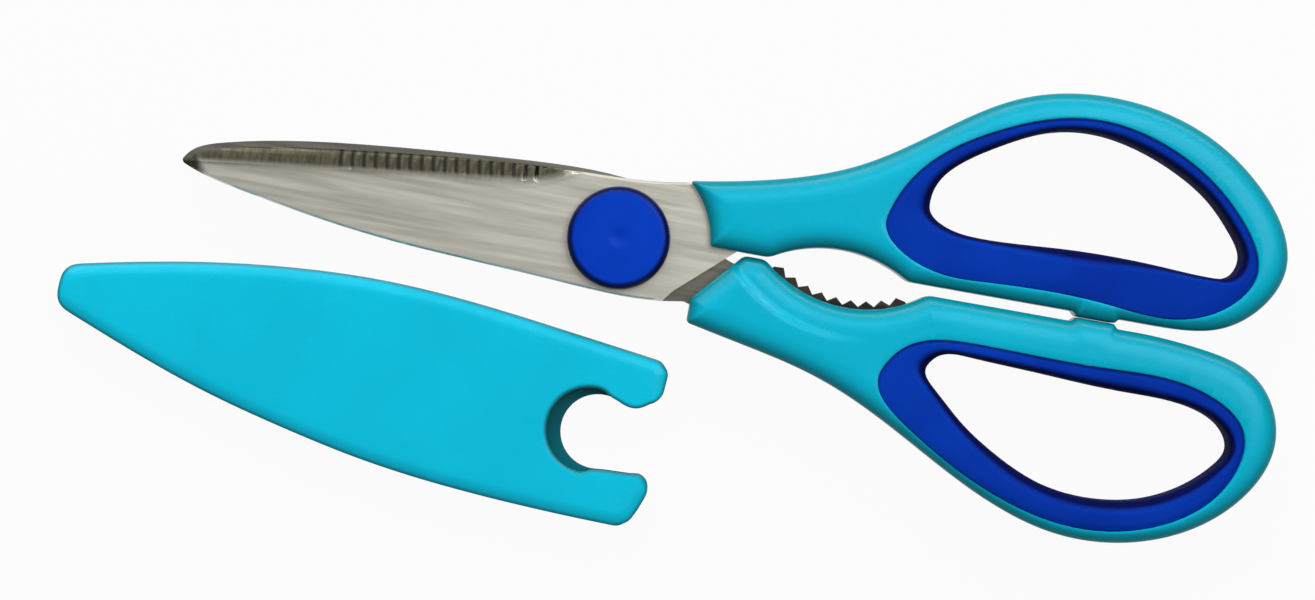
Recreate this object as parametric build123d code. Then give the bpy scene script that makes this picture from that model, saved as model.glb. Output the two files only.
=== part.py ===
from build123d import *
import os
from math import asin, atan2, cos, degrees, radians, sin, sqrt

# Kitchen shears, closed and lying flat, with the blade sheath taken off and laid beside the blades.
# Millimetres. X runs along the shears, with the handles at +X and the tips at -X. Z is up and the
# table is at zero. The origin is on the pivot axis, at the table.

# Overall sizes
blade_reach = 84.8             # pivot axis to the blade tips
handle_reach = 129.5           # pivot axis to the far end of the loops
upper_spread = 42.7            # centre line to the outside of the upper loop
lower_spread = 40.8            # centre line to the outside of the lower loop
handle_thickness = 11.2
overrun = 2.0                  # how far a cutting shape passes the face that it cuts

# Heights of the two blades, which meet at the middle of the handles
blade_thickness = 1.5
blade_gap = 0.1                # running gap between the flat inner faces
middle_z = handle_thickness / 2
rear_top = middle_z - blade_gap / 2
rear_bottom = rear_top - blade_thickness
front_bottom = middle_z + blade_gap / 2
front_top = front_bottom + blade_thickness

# Blade outlines: widths from the pivot axis line, and the round heel about the pivot
edge_side_width = 11.2         # front blade, up to its cutting edge
spine_side_width = 10.7        # front blade, down to its spine
rear_spine_width = 12.0        # rear blade, up to its spine
rear_edge_width = 9.7          # rear blade, down to its cutting edge
heel_radius = 16.9             # no bare steel of the heels lies further out
heel_clearance = 0.5           # heel circle to the moulded handles
tip_round = 0.5
spine_chamfer = 0.45
edge_shares = [(-0.955, 0.20), (-0.83, 0.46), (-0.564, 0.74), (-0.295, 0.93), (-0.114, 1.0)]
spine_shares = [(-0.114, -0.945), (-0.297, -0.86), (-0.48, -0.77), (-0.666, -0.60), (-0.855, -0.335),
                (-0.95, -0.16)]
rear_spine_shares = [(-0.981, 0.19), (-0.917, 0.39), (-0.83, 0.53), (-0.564, 0.785), (-0.295, 0.94),
                     (-0.114, 1.0)]
rear_edge_shares = [(-0.114, -0.965), (-0.297, -0.875), (-0.48, -0.77), (-0.666, -0.59),
                    (-0.855, -0.31), (-0.95, -0.14)]
front_heel_top_shares = [(0.12, 0.686), (0.686, 0.763)]
front_heel_low_shares = [(1.355, 0.10), (0.704, -0.479), (0.60, -0.612), (0.12, -0.635)]
rear_heel_top_shares = [(0.24, 0.635), (0.72, 0.44), (1.0, 0.06)]
rear_heel_low_shares = [(0.58, -0.615), (0.12, -0.60)]

# Tangs, as shares of the handle's reach and spread
front_tang_shares = [(0.139, 0.295), (0.36, 0.322), (0.375, 0.265), (0.36, 0.205), (0.262, 0.178),
                     (0.2, 0.094)]
rear_tang_shares = [(0.173, -0.022), (0.208, -0.122), (0.255, -0.191), (0.34, -0.27), (0.386, -0.32),
                    (0.392, -0.40), (0.38, -0.462), (0.34, -0.422), (0.255, -0.365), (0.185, -0.309),
                    (0.11, -0.238)]
front_post_shares = [(0.232, 0.235), (0.318, 0.252)]
rear_post_shares = [(0.255, -0.277), (0.34, -0.346)]
post_radius = 1.9              # moulded posts through the tangs

# Ground bevel of the cutting edges
bevel_width = 5.1
edge_land = 0.35               # steel left at the edge
bevel_slope = 6.6              # degrees between the bevel line and the X axis
bevel_start_share = (-0.84, 0.009)    # of the blade reach and the edge side width
bevel_length = 50.0
runout_radius = 26.0           # the bevel curves out to the edge in front of the pivot
runout_angle = 32.0
groove_count = 18
groove_pitch = 2.2
groove_depth = 0.25
groove_side = 0.8
groove_length = 3.2            # the grooves end short of the edge
groove_first = 17.0            # first groove, along the bevel line
groove_middle = 3.3            # bevel line to the middle of a groove
quarter_turn = 90.0
half_turn = 180.0

# Handles: loops, arms and the parting line between the two
parting_y = 0.85               # top of the lower handle's nose
parting_gap = 0.6
rear_gap = 1.9                 # gap between the arms behind the gripper
shell_round = 2.3
nose_round = 2.0
seam_round = 0.3
upper_shell_shares = [(0.899, 0.080), (0.971, 0.375), (0.907, 0.738), (0.795, 0.941), (0.680, 1.0),
                      (0.544, 0.923), (0.436, 0.719), (0.329, 0.506), (0.224, 0.389), (0.062, 0.295)]
lower_shell_shares = [(0.865, -0.032), (0.9575, -0.127), (1.0, -0.392), (0.953, -0.735),
                      (0.834, -0.963), (0.710, -1.0), (0.588, -0.887), (0.456, -0.669),
                      (0.327, -0.483), (0.2015, -0.385), (0.077, -0.301)]
upper_loop_start_share = 0.772
lower_loop_start_share = 0.741
arm_start_share = 0.062
loop_lead = 5.0                # the loop's curve starts level over this length
upper_grip_shares = [(0.3815, 0.304), (0.4185, 0.534), (0.520, 0.763), (0.656, 0.885), (0.795, 0.787),
                     (0.888, 0.576), (0.928, 0.328), (0.8765, 0.131), (0.710, 0.091),
                     (0.5405, 0.091), (0.432, 0.126)]
upper_opening_shares = [(0.441, 0.385), (0.452, 0.515), (0.483, 0.610), (0.532, 0.707), (0.592, 0.796),
                        (0.665, 0.829), (0.730, 0.797), (0.794, 0.723), (0.846, 0.627), (0.888, 0.497),
                        (0.906, 0.392), (0.895, 0.310), (0.862, 0.288), (0.790, 0.298), (0.640, 0.298),
                        (0.520, 0.280), (0.462, 0.313)]
lower_grip_shares = [(0.413, -0.380), (0.448, -0.250), (0.549, -0.196), (0.728, -0.201),
                     (0.879, -0.230), (0.950, -0.392), (0.9405, -0.625), (0.842, -0.890),
                     (0.710, -0.949), (0.587, -0.843), (0.471, -0.645)]
lower_opening_shares = [(0.479, -0.330), (0.495, -0.276), (0.540, -0.262), (0.640, -0.277),
                        (0.760, -0.294), (0.846, -0.299), (0.894, -0.331), (0.924, -0.392),
                        (0.936, -0.474), (0.920, -0.568), (0.875, -0.692), (0.820, -0.775),
                        (0.769, -0.807), (0.716, -0.808), (0.663, -0.774), (0.607, -0.697),
                        (0.540, -0.561), (0.497, -0.440)]
lower_front_angle = -41.7      # direction from the pivot to the lower handle's slanted front face
lower_front_x = 15.4
grip_inset = 0.3               # the soft rings lie a little below the hard faces
grip_round = 1.9

# Stops that meet as the handles close
stop_share = 0.709             # of the handle reach
stop_length = 8.0
stop_inset = 1.4               # below and above the handle faces
stop_gap = 0.15
stop_root = 3.0                # how far a stop runs into its handle

# Gripper between the arms: a smooth upper jaw and a toothed steel plate below
upper_jaw_x = 42.2
upper_jaw_radius = 25.4
upper_jaw_height = 5.2
lower_jaw_x = 44.7
tooth_tip_radius = 23.2
lower_jaw_depth = 3.85         # tooth tips at their lowest, below the centre line
tooth_height = 1.2
tooth_count = 9
plate_bare = 0.4               # steel showing between the tooth roots and the moulding
plate_depth = 3.4              # how far the plate runs into the moulding
plate_thickness = 1.5
plate_first_angle = -127.0
plate_last_angle = -63.0
nose_reach = 33.0              # pivot axis to where the parting line ends, within the jaw
land_width = 5.7               # sunk land beside the teeth
land_depth = 0.9
land_end = 6.0                 # the land runs out this far past the middle of the jaw

# Pivot
head_radius = 6.8
head_chamfer = 0.5
key_radius = 3.4
key_flat = 2.7                 # pivot axis to each flat of the keyed part
shank_radius = 3.0
thread_radius = 2.6
running_fit = 0.05
washer_radius = 5.3
washer_thickness = 0.4
washer_float = 0.05
nut_flat = 4.0                 # pivot axis to each flat of the nut
nut_height = 2.1
thread_end = 0.1               # bolt end above the nut

# Cap
cap_radius = 9.8
cap_round = 1.2
cap_neck_radius = 6.6
cap_top_wall = 1.1
cap_lift = 0.25                # neck above the front blade
dimple_radius = 9.0
dimple_depth = 0.3

# Sheath
sheath_length = 106.0          # centre of the notch to the closed end
sheath_width = 17.8            # half width
sheath_thickness = 5.3
sheath_face_wall = 0.95
sheath_side_wall = 2.0
sheath_round = 1.9
sheath_cap_gap = 0.3           # seated sheath to the underside of the cap
sheath_x = 2.4
sheath_y = -37.2
sheath_tilt = -4.8
notch_radius = 7.2
notch_round = 1.2              # the hooks on both sides of the notch
prong_round = 2.2
relief_radius = 8.2            # larger notch in the front wall
relief_shift = 1.7
prong_lead = 6.0               # the body is rounded over this much past the mouth, then cut off
prong_flare = 8.0              # the mouth's cutting shape widens past the sides over this much
side_end_shares = [(0.119, -0.885), (0.092, 0.90)]
top_prong_shares = [(0.072, 0.99), (0.096, 0.80), (0.094, 0.51), (0.060, 0.345), (0.0, 0.345)]
low_prong_shares = [(0.011, -0.39), (0.105, -0.325), (0.117, -0.47), (0.102, -0.775), (0.072, -0.99)]
sheath_low_shares = [(-0.025, -0.955), (-0.2, -0.98), (-0.398, -0.935), (-0.552, -0.82),
                     (-0.708, -0.655), (-0.867, -0.41), (-1.006, -0.16)]
sheath_top_shares = [(-1.008, 0.27), (-0.871, 0.515), (-0.732, 0.725), (-0.59, 0.885), (-0.43, 0.99),
                     (-0.27, 1.005), (-0.09, 0.962)]
sheath_tip_round = 3.4


def placed(shares, along, across):
    """Outline points from shares of a size along X and a size along Y."""
    return [(x * along, y * across) for x, y in shares]


def plate(face, low, high):
    """A flat face raised into a plate between two heights."""
    return extrude(Pos(0, 0, low) * face, amount=high - low)


def through(face):
    """A cutting tool through the full thickness of a handle."""
    return plate(face, -overrun, handle_thickness + overrun)


def blade_plate(low, high, edge, heel_top, tang, heel_low, spine):
    """A flat blade with its heel and tang, as curves joined at the tip and lines round the tang."""
    tip = (-blade_reach, 0)
    upper = Spline(tip, *edge, *heel_top)
    lower = Spline(heel_low[-2], heel_low[-1], *spine, tip)
    back = Polyline(heel_top[-1], *tang, *heel_low[:-1])
    face = make_face([upper.edge(), *back.edges(), lower.edge()])
    face = fillet(face.vertices().sort_by(Axis.X)[0], tip_round)
    return plate(face, low, high)


def bevel_plane():
    """Section plane at the tip end of the bevel line: X into the blade, Y toward the cutting edge."""
    slope = radians(bevel_slope)
    start = (bevel_start_share[0] * blade_reach, bevel_start_share[1] * edge_side_width, front_top)
    return Plane(start, x_dir=(0, 0, -1), z_dir=(cos(slope), sin(slope), 0))


def bevel_radius():
    """Radius of the rounded bevel, which leaves the flat of the blade without a corner."""
    drop = blade_thickness - edge_land
    return (bevel_width ** 2 + drop ** 2) / (2 * drop)


def bevel_tool():
    """What grinding takes off the front blade: all that lies above a round bevel beside a line."""
    drop = blade_thickness - edge_land
    reach = bevel_width + overrun
    block = Pos((drop - overrun) / 2, reach / 2) * Rectangle(drop + overrun, reach)
    section = block - Pos(bevel_radius(), 0) * Circle(bevel_radius())
    line = bevel_plane()
    before = blade_reach + line.origin.X + overrun
    straight = extrude(line.offset(-before) * section, amount=before + bevel_length)
    end = line.offset(bevel_length)
    turn = end.origin + end.y_dir * runout_radius
    return straight + revolve(end * section, Axis(turn, (0, 0, 1)), runout_angle)


def grooves():
    """Fine cross grooves in the bevel, side by side along the cutting edge."""
    radius = bevel_radius()
    fall = radius - sqrt(radius ** 2 - groove_middle ** 2)
    lift = groove_side * cos(radians(quarter_turn / 2)) - groove_depth - fall
    bar = Box(groove_side, groove_length, groove_side, rotation=(0, quarter_turn / 2, 0))
    bar = Rot(-degrees(asin(groove_middle / radius)), 0, 0) * bar
    along_bevel = Location(bevel_plane().origin, (0, 0, bevel_slope))
    return [along_bevel * Pos(groove_first + groove_pitch * n, groove_middle, lift) * bar
            for n in range(groove_count)]


def keyed_face():
    """Round with two flats: the part of the bolt that the rear blade holds."""
    return Circle(key_radius) & Rectangle(2 * key_flat, 2 * key_radius)


def front_blade():
    heel_top = placed(front_heel_top_shares, heel_radius, heel_radius)
    heel_low = placed(front_heel_low_shares, heel_radius, heel_radius)
    solid = blade_plate(front_bottom, front_top, placed(edge_shares, blade_reach, edge_side_width),
                        heel_top, placed(front_tang_shares, handle_reach, upper_spread),
                        heel_low, placed(spine_shares, blade_reach, spine_side_width))
    top_edges = solid.faces().sort_by(Axis.Z)[-1].edges()
    spine_edge = top_edges.filter_by(lambda e: e.center().X < 0).sort_by(Axis.Y)[0]
    solid = chamfer(spine_edge, spine_chamfer)
    solid -= bevel_tool()
    solid -= grooves()
    bore = Circle(shank_radius + running_fit)
    for x, y in placed(front_post_shares, handle_reach, upper_spread):
        bore += Pos(x, y) * Circle(post_radius)
    return solid - plate(bore, front_bottom - overrun, front_top + overrun)


def rear_blade():
    heel_top = placed(rear_heel_top_shares, heel_radius, heel_radius)
    heel_low = placed(rear_heel_low_shares, heel_radius, heel_radius)
    solid = blade_plate(rear_bottom, rear_top, placed(rear_spine_shares, blade_reach, rear_spine_width),
                        heel_top, placed(rear_tang_shares, handle_reach, lower_spread),
                        heel_low, placed(rear_edge_shares, blade_reach, rear_edge_width))
    turned_over = Pos(0, 0, middle_z) * Rot(half_turn, 0, 0) * Pos(0, 0, -middle_z)
    solid -= turned_over * bevel_tool()
    holes = keyed_face()
    for x, y in placed(rear_post_shares, handle_reach, lower_spread):
        holes += Pos(x, y) * Circle(post_radius)
    return solid - plate(holes, rear_bottom - overrun, rear_top + overrun)


def ring_face(shares, spread):
    """The flat face inside a smooth closed loop."""
    return make_face(Spline(*placed(shares, handle_reach, spread), periodic=True).edge())


def rounded_plate(face, radius):
    """The handle's full thickness, its upper and lower edges rounded all round but at the front."""
    solid = plate(face, 0, handle_thickness)
    rims = solid.faces().sort_by(Axis.Z)[0].edges() + solid.faces().sort_by(Axis.Z)[-1].edges()
    front_x = arm_start_share * handle_reach + overrun
    return fillet([rim for rim in rims if rim.center().X > front_x], radius)


def stop(side_y, root_y):
    """A small rounded stop on one arm, from inside the arm to its contact face."""
    length = Rectangle(stop_length, abs(side_y - root_y))
    face = Pos(stop_share * handle_reach, (side_y + root_y) / 2) * length
    return plate(face, stop_inset, handle_thickness - stop_inset)


def rounded_corners(face, edge_y):
    """Rounds the corners where a jaw meets the straight edge at one height."""
    front_x = arm_start_share * handle_reach + overrun
    rear_x = stop_share * handle_reach - stop_length
    return fillet([corner for corner in face.vertices()
                   if front_x < corner.X < rear_x and abs(corner.Y - edge_y) < stop_gap], nose_round)


def jaw_centre():
    """Centre of the toothed lower jaw."""
    return lower_jaw_x, tooth_tip_radius - lower_jaw_depth


def upper_outline():
    low_y = parting_y + parting_gap
    loop_start = (upper_loop_start_share * handle_reach, low_y)
    arm_start = (arm_start_share * handle_reach, low_y)
    shares = placed(upper_shell_shares, handle_reach, upper_spread)
    loop = Spline(loop_start, (loop_start[0] + loop_lead, low_y), *shares)
    tail = Polyline(shares[-1], arm_start, loop_start)
    face = make_face([loop.edge(), *tail.edges()])
    jaw = Pos(upper_jaw_x, upper_jaw_height - upper_jaw_radius) * Circle(upper_jaw_radius)
    return rounded_corners(face - jaw, low_y)


def upper_handle_shell(steel):
    solid = rounded_plate(upper_outline(), shell_round)
    low_y = parting_y + parting_gap
    solid += stop(low_y - (rear_gap - stop_gap) / 2, low_y + stop_root)
    solid -= through(Circle(heel_radius + heel_clearance))
    return solid - through(ring_face(upper_grip_shares, upper_spread)) - steel


def lower_outline():
    low_y = parting_y + parting_gap - rear_gap
    loop_start = (lower_loop_start_share * handle_reach, low_y)
    shares = placed(lower_shell_shares, handle_reach, lower_spread)
    loop = Spline(loop_start, (loop_start[0] + loop_lead, low_y), *shares)
    arm_start = (shares[-1][0], parting_y)
    tail = Polyline(shares[-1], arm_start, (nose_reach, parting_y), (lower_jaw_x, low_y), loop_start)
    face = make_face([loop.edge(), *tail.edges()])
    jaw_x, jaw_y = jaw_centre()
    face -= Pos(jaw_x, jaw_y) * Circle(tooth_tip_radius + tooth_height + plate_bare)
    return rounded_corners(rounded_corners(face, low_y), parting_y)


def sunk_land(face_z, upper):
    """The land beside the teeth: a sloping cut that is deepest near the nose and runs out behind."""
    jaw_x, jaw_y = jaw_centre()
    radius = tooth_tip_radius + tooth_height + plate_bare + land_width
    run = radius / 2 + land_end
    slope = degrees(atan2(land_depth, run))
    disc = Pos(jaw_x, jaw_y) * Circle(radius)
    prism = plate(disc, 0, handle_thickness)
    tilt = Pos(jaw_x + land_end, 0, face_z) * Rot(0, -slope if upper else slope, 0)
    half = Box(2 * handle_reach, 2 * handle_reach, handle_thickness,
               align=(Align.CENTER, Align.CENTER, Align.MIN if upper else Align.MAX))
    return Pos(0, 0, face_z - handle_thickness / 2) * prism & tilt * half


def lower_handle_shell(steel, teeth):
    """The moulding round the rear tang: cut off square and slanted in front, with the sunk land."""
    solid = rounded_plate(lower_outline(), shell_round)
    low_y = parting_y + parting_gap - rear_gap
    solid += stop(low_y + (rear_gap - stop_gap) / 2, low_y - stop_root)
    block = Box(2 * handle_reach, 2 * handle_reach, 2 * handle_thickness + overrun,
                align=(Align.MAX, Align.CENTER, Align.CENTER))
    solid -= Rot(0, 0, lower_front_angle) * Pos(heel_radius + heel_clearance, 0, 0) * block
    solid -= Pos(lower_front_x, 0, 0) * block
    solid -= through(ring_face(lower_grip_shares, lower_spread))
    return solid - sunk_land(handle_thickness, True) - sunk_land(0, False) - steel - teeth


def grip(grip_shares, opening_shares, spread):
    """A soft ring that fills the loop, with its inner rim rounded over."""
    low, high = grip_inset, handle_thickness - grip_inset
    outer = plate(ring_face(grip_shares, spread), low, high)
    solid = outer - plate(ring_face(opening_shares, spread), low - overrun, high + overrun)
    rims = [e for f in (solid.faces().sort_by(Axis.Z)[0], solid.faces().sort_by(Axis.Z)[-1])
            for e in f.inner_wires()[0].edges()]
    return fillet(rims, grip_round)


def gripper_plate():
    """A toothed steel arc: an arc strip with round teeth along its inner side."""
    jaw_x, jaw_y = jaw_centre()
    root_radius = tooth_tip_radius + tooth_height
    outer_radius = root_radius + plate_bare + plate_depth
    sweep = plate_last_angle - plate_first_angle
    inner = CenterArc((0, 0), tooth_tip_radius, plate_first_angle, sweep)
    outer = CenterArc((0, 0), outer_radius, plate_first_angle, sweep)
    sides = [Line(inner @ 0, outer @ 0), Line(inner @ 1, outer @ 1)]
    face = make_face([inner.edge(), outer.edge(), *[side.edge() for side in sides]])
    pitch = sweep / tooth_count
    gullet = radians(pitch) * tooth_tip_radius / 2
    for n in range(tooth_count + 1):
        turn = Rot(0, 0, plate_first_angle + pitch * n)
        notch = Polygon((tooth_tip_radius - gullet, -gullet), (tooth_tip_radius, -gullet),
                        (root_radius, 0), (tooth_tip_radius, gullet),
                        (tooth_tip_radius - gullet, gullet), align=None)
        face -= turn * notch
    return plate(Pos(jaw_x, jaw_y) * face, front_bottom, front_bottom + plate_thickness)


def pivot_bolt():
    """Flat head behind, keyed part in the rear blade, round shank in the front one, threaded end."""
    head = chamfer(plate(Circle(head_radius), 0, rear_bottom).edges().group_by(Axis.Z)[0], head_chamfer)
    key = plate(keyed_face(), rear_bottom, rear_top)
    shank = plate(Circle(shank_radius), rear_top, nut_bottom())
    thread = plate(Circle(thread_radius), nut_bottom(), nut_bottom() + nut_height + thread_end)
    return head + key + shank + thread


def nut_bottom():
    return front_top + washer_float + washer_thickness


def nut_face():
    return RegularPolygon(nut_flat, 6, major_radius=False)


def pivot_washer():
    ring = Circle(washer_radius) - Circle(shank_radius + running_fit)
    return plate(ring, front_top + washer_float, nut_bottom())


def pivot_nut():
    return plate(nut_face() - Circle(thread_radius), nut_bottom(), nut_bottom() + nut_height)


def cap_head_bottom():
    """Underside of the cap's rim, which the front wall of the seated sheath passes beneath."""
    return middle_z + sheath_thickness / 2 + sheath_cap_gap


def pivot_cap():
    """A mushroom cap: a neck that the sheath snaps round, a wide head, and a pocket for the nut."""
    bottom = front_top + cap_lift
    pocket_top = nut_bottom() + nut_height + thread_end
    top = pocket_top + cap_top_wall
    head = plate(Circle(cap_radius), cap_head_bottom(), top)
    head = fillet(head.edges().group_by(Axis.Z)[-1], min(cap_round, (top - cap_head_bottom()) / 2))
    solid = head + plate(Circle(cap_neck_radius), bottom, cap_head_bottom())
    solid -= plate(nut_face(), bottom - overrun, pocket_top)
    solid -= plate(Circle(washer_radius + running_fit), bottom - overrun, nut_bottom() + running_fit)
    return solid - Pos(0, 0, top + dimple_radius - dimple_depth) * Sphere(dimple_radius)


def sheath_outline(inset, lead):
    """The blunt closed end and the sides of the sheath or its cavity, running past the mouth by a lead."""
    length, width = sheath_length - inset, sheath_width - inset
    low_end, top_end = [(x * sheath_length + lead, y * width) for x, y in side_end_shares]
    low = Spline(low_end, *placed(sheath_low_shares, length, width))
    top = Spline(*placed(sheath_top_shares, length, width), top_end)
    lines = [Line(low @ 1, top @ 0), Line(top_end, low_end)]
    face = make_face([low.edge(), top.edge(), *[line.edge() for line in lines]])
    return fillet([corner for corner in face.vertices() if corner.X < 0], sheath_tip_round - inset)


def mouth_face():
    """All that the mouth leaves of the sheath: two prongs, a flared way in and the notch with its hooks."""
    top = placed(top_prong_shares, sheath_length, sheath_width)
    low = placed(low_prong_shares, sheath_length, sheath_width)
    (top_x, top_y), (low_x, low_y) = top[0], low[-1]
    end = -sheath_length - prong_lead
    face = make_face(Polyline((end, low_y - prong_lead), (low_x - prong_flare, low_y - overrun), *low[::-1],
                              *top[::-1], (top_x - prong_flare, top_y + overrun), (end, top_y + prong_lead),
                              close=True).edges())
    face -= Circle(notch_radius)
    face = fillet([corner for corner in face.vertices() if abs(corner.Y) < notch_radius], notch_round)
    return fillet([face.vertices().sort_by_distance(end)[0] for end in [*top[1:3], *low[2:-1]]], prong_round)


def sheath():
    """A flat sleeve: a round-edged body, a snap notch at the mouth and a cavity open between the prongs."""
    solid = plate(sheath_outline(0, prong_lead), 0, sheath_thickness)
    rims = solid.edges().group_by(Axis.Z)[0] + solid.edges().group_by(Axis.Z)[-1]
    solid = fillet([rim for rim in rims if rim.center().X < 0], sheath_round)
    solid &= plate(mouth_face(), -overrun, sheath_thickness + overrun)
    cavity = sheath_outline(sheath_side_wall, prong_lead + overrun)
    solid -= plate(cavity, sheath_face_wall, sheath_thickness - sheath_face_wall)
    behind = Pos(-relief_radius, 0) * Rectangle(2 * relief_radius, 4 * relief_radius)
    relief = Pos(-relief_shift, 0) * Circle(relief_radius) & behind
    solid -= plate(relief, sheath_thickness / 2, sheath_thickness + overrun)
    return Pos(sheath_x, sheath_y, 0) * Rot(0, 0, sheath_tilt) * solid


def build():
    """All the pieces by name."""
    front_steel = front_blade()
    rear_steel = rear_blade()
    teeth = gripper_plate()
    return {
        "front_blade": front_steel,
        "rear_blade": rear_steel,
        "upper_handle_shell": upper_handle_shell(front_steel),
        "lower_handle_shell": lower_handle_shell(rear_steel, teeth),
        "upper_handle_grip": grip(upper_grip_shares, upper_opening_shares, upper_spread),
        "lower_handle_grip": grip(lower_grip_shares, lower_opening_shares, lower_spread),
        "gripper_plate": teeth,
        "pivot_bolt": pivot_bolt(),
        "pivot_washer": pivot_washer(),
        "pivot_nut": pivot_nut(),
        "pivot_cap": pivot_cap(),
        "sheath": sheath(),
    }


os.makedirs("parts", exist_ok=True)
for name, shape in build().items():
    export_step(shape, f"parts/{name}.step")
    print(name, round(shape.volume, 1))
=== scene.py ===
# %% [markdown]
# Kitchen shears with a blade sheath
#
# These are household shears: two stainless blades on one pivot, handles moulded in two colours, a toothed
# gripper between the arms, and a sheath for the blades. They lie closed on a white table, seen from
# straight above, with the sheath beside the blades.
#
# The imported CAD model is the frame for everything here. It says where each piece is, in metres, and which
# pieces turn about the pivot. This lesson gives those pieces their surfaces and finishes, and moves none.

# %% Load the frame
from math import radians

import bmesh
import bpy
import numpy as np
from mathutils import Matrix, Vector
from mathutils.geometry import convex_hull_2d, delaunay_2d_cdt


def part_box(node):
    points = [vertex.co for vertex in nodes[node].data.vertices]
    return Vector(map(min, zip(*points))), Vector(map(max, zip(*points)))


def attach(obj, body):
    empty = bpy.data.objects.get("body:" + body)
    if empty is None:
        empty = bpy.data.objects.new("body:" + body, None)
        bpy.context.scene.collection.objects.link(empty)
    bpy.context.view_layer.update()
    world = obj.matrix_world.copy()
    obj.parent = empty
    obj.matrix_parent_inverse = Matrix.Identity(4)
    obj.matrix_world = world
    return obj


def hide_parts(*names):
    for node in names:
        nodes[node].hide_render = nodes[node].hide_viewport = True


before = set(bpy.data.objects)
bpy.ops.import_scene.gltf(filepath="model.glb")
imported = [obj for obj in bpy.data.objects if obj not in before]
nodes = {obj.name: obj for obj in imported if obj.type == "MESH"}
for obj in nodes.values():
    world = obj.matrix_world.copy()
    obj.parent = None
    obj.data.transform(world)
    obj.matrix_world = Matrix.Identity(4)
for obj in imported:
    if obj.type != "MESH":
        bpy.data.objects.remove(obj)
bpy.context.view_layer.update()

MM = 0.001
print("CAD pieces:", ", ".join(sorted(nodes)))

# %% [markdown]
# Camera
#
# The picture looks straight down. A wide lens close by would show the walls of pieces near the picture's
# edge, and the picture shows hardly any, so it was taken with a long lens from well above. The height is
# worked out from the width of the view. The camera is rolled a little, because the shears lie aslant.

# %% Camera
LENS, SENSOR = 85.0, 36.0      # in millimetres, as Blender's cameras take them
VIEW_WIDTH = 249.85 * MM
VIEW_CENTRE = (9.3 * MM, -10.3 * MM)
VIEW_LEVEL = 8.0 * MM       # the height over the table at which the view is that wide
ROLL = radians(10.1)


def new_object(name, data):
    """An object at the origin, linked to the scene."""
    made = bpy.data.objects.new(name, data)
    bpy.context.scene.collection.objects.link(made)
    return made


camera_data = bpy.data.cameras.new("camera")
camera_data.lens = LENS
camera_data.sensor_width = SENSOR
camera = new_object("camera", camera_data)
camera.location = (*VIEW_CENTRE, VIEW_LEVEL + VIEW_WIDTH * LENS / SENSOR)
camera.rotation_euler = (0, 0, ROLL)
bpy.context.scene.camera = camera
print("camera height", round(camera.location.z, 3), "m")

# %% [markdown]
# Node trees
#
# A finish is a small tree of nodes. It could be painted on an image, but a pattern worked out in the
# piece's own space needs no unwrapping and stays sharp close up. Every noise here reads Object
# coordinates, so a finish stays with its piece as the shears open. Three helpers keep the trees short:
# one makes an empty material, one adds a node with its values, and one joins two nodes.

# %% A material, its nodes and their links
def linear(red, green, blue):
    """A colour written as 0 to 255 on a screen, turned to the linear values that a shader takes.

    Very dark values are divided by 12.92. The others are ((c + 0.055) / 1.055) to the power 2.4.
    """
    c = np.array([red, green, blue]) / 255
    c = np.where(c <= 0.04045, c / 12.92, ((c + 0.055) / 1.055) ** 2.4)
    return (*c, 1)


def new_material(name):
    """An empty material, with its node tree and its shader."""
    material = bpy.data.materials.new(name)
    material.use_nodes = True
    return material, material.node_tree, material.node_tree.nodes["Principled BSDF"]


def add(tree, kind, **values):
    """A node of a kind, with its properties and its unlinked inputs set by name."""
    node = tree.nodes.new(kind)
    for key, value in values.items():
        if hasattr(node, key):
            setattr(node, key, value)
        else:
            node.inputs[key.replace("_", " ")].default_value = value
    return node


def join(tree, source, output, target, entry):
    """A link from an output of one node to an input of another, each given by name or number."""
    tree.links.new(source.outputs[output], target.inputs[entry])


print("a screen grey of 128 is", round(linear(128, 128, 128)[0], 3), "in linear light")

# %% [markdown]
# Unevenness
#
# A single flat colour looks like paper, because real plastic and steel are never quite even. Noise over
# the piece gives the unevenness: coarse noise for a drift of colour, finer noise for patches of gloss,
# and the finest for relief. A ramp turns a noise to two colours, and a range turns it to a number.

# %% Noise, colours and ranges
NOISE_LOW, NOISE_HIGH = 0.35, 0.65      # most of a noise lies between these


def object_noise(tree, scale, detail=2.0, stretch=(1, 1, 1)):
    """Noise on Object coordinates: scale patches to a metre, drawn out along an axis of small stretch."""
    coordinates = add(tree, "ShaderNodeTexCoord")
    mapping = add(tree, "ShaderNodeMapping", Scale=stretch)
    noise = add(tree, "ShaderNodeTexNoise", Scale=scale, Detail=detail)
    join(tree, coordinates, "Object", mapping, "Vector")
    join(tree, mapping, "Vector", noise, "Vector")
    return noise


def colour_range(tree, noise, low, high):
    """Two colours spread over the middle of a noise."""
    ramp = add(tree, "ShaderNodeValToRGB")
    for stop, place, colour in zip(ramp.color_ramp.elements, (NOISE_LOW, NOISE_HIGH), (low, high)):
        stop.position = place
        stop.color = colour
    join(tree, noise, 0, ramp, "Fac")
    return ramp


def value_range(tree, source, low, high, start=0.0, stop=1.0, output=0):
    """A value that goes smoothly from low to high as the source's output goes from start to stop."""
    mapped = add(tree, "ShaderNodeMapRange", interpolation_type="SMOOTHSTEP",
                 From_Min=start, From_Max=stop, To_Min=low, To_Max=high)
    join(tree, source, output, mapped, "Value")
    return mapped


def relief(tree, shader, source, depth, strength):
    """A fine relief on the surface, from a noise and its depth in metres."""
    node = add(tree, "ShaderNodeBump", Distance=depth, Strength=strength)
    join(tree, source, 0, node, "Height")
    join(tree, node, "Normal", shader, "Normal")


print("two colours are spread over a noise from", NOISE_LOW, "to", NOISE_HIGH)

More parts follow.
